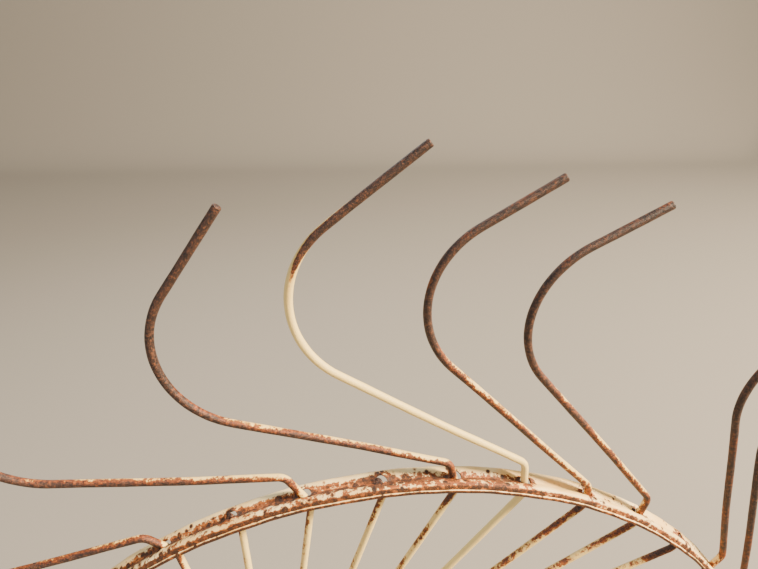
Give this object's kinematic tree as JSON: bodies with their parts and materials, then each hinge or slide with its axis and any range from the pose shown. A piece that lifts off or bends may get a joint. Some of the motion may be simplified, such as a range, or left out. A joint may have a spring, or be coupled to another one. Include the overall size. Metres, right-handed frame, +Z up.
{
  "type": "finger wheel of a rotary hay rake on its crank arm",
  "caption": "Ground-driven raking wheel with sprung wire tines round a rolled rim, stamped hub plates and a hub that turns freely on a crank arm.",
  "frame": {"origin": "middle of the crank arm's pivot bore", "axes": "+X along the wheel's face from the pivot towards the wheel, +Y along the axle from the wheel towards the rake's frame, +Z up"},
  "size_m": [1.4881, 0.293, 1.4921],
  "materials": {
    "rim_paint": "cream enamel, chipped and rusty",
    "plate_paint": "cream enamel on stamped sheet, rusty edges",
    "tine_rust": "spring steel wire, brown rust with cream remains near the rim",
    "tine_paint": "newer spring steel wire, cream paint at the rim end, brown outside",
    "rivet_steel": "rusty steel rivet",
    "hub_iron": "bare grey cast iron",
    "cap_steel": "pressed steel, dull",
    "seal_rubber": "black rubber",
    "spindle_steel": "turned steel, greasy",
    "arm_paint": "faded brick red enamel"
  },
  "bodies": {
    "arm": {"spindle": "spindle_steel", "thrust_washer": "spindle_steel", "arm_boss": "arm_paint", "arm_tube": "arm_paint", "pivot_sleeve": "arm_paint", "gusset": "arm_paint", "lift_lug": "arm_paint"},
    "wheel": {"rim": "rim_paint", "tines_top": "tine_rust", "tines_right": "tine_rust", "tines_bottom": "tine_rust", "tines_left": "tine_rust", "new_tine": "tine_paint", "broken_tines": "tine_rust", "front_hub_plate": "plate_paint", "rear_hub_plate": "plate_paint", "tine_rivets": "rivet_steel", "hub_barrel": "hub_iron", "dust_cap": "cap_steel", "rear_seal": "seal_rubber"}
  },
  "joints": [
    {"name": "wheel_spin", "type": "hinge", "parent": "arm", "child": "wheel", "pos_m": [0.41898, -0.152, -0.0293], "axis": [0, 1, 0], "continuous": true}
  ]
}
